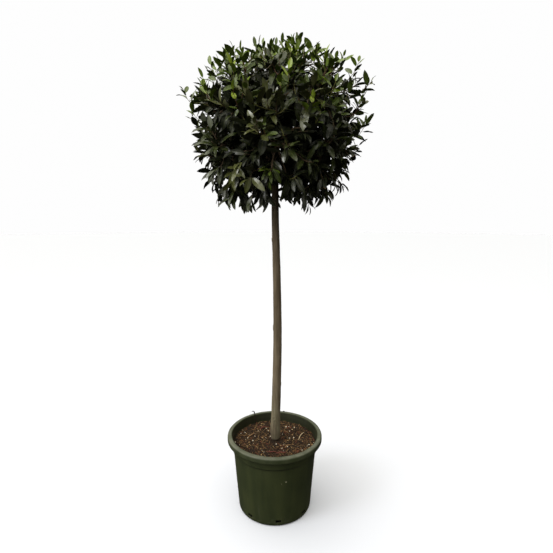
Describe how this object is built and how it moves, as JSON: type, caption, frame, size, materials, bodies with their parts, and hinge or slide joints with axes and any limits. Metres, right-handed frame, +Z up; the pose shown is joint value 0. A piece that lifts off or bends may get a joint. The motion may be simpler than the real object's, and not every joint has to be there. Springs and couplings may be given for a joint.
{
  "type": "potted standard bay tree",
  "caption": "Bay laurel trained as a standard: a clipped round head of glossy leaves on one clear, slightly bowed stem, growing in a round plastic nursery pot filled with bark compost.",
  "frame": {"origin": "centre of the flat underside of the pot", "axes": "+Z up along the stem, -Y towards the front that the picture shows, +X to the right of that view"},
  "size_m": [0.6944, 0.6865, 1.7873],
  "materials": {
    "pot_plastic": "dark green moulded plastic, satin, dusty round the rim",
    "compost": "moist shredded bark and coir with pale grains",
    "bark": "smooth grey-brown young bark with fine upright streaks",
    "leaves": "leathery deep green leaves with a soft gloss, paler underneath, yellow-green young shoots"
  },
  "bodies": {
    "root": {"pot": "pot_plastic", "compost": "compost", "trunk": "bark", "bough_lower_1": "bark", "bough_lower_2": "bark", "bough_lower_3": "bark", "bough_lower_4": "bark", "bough_lower_5": "bark", "bough_upper_1": "bark", "bough_upper_2": "bark", "bough_upper_3": "bark", "bough_upper_4": "bark", "foliage_top": "leaves", "foliage_lower_1": "leaves", "foliage_lower_2": "leaves", "foliage_lower_3": "leaves", "foliage_lower_4": "leaves", "foliage_lower_5": "leaves", "foliage_upper_1": "leaves", "foliage_upper_2": "leaves", "foliage_upper_3": "leaves", "foliage_upper_4": "leaves"}
  },
  "joints": []
}
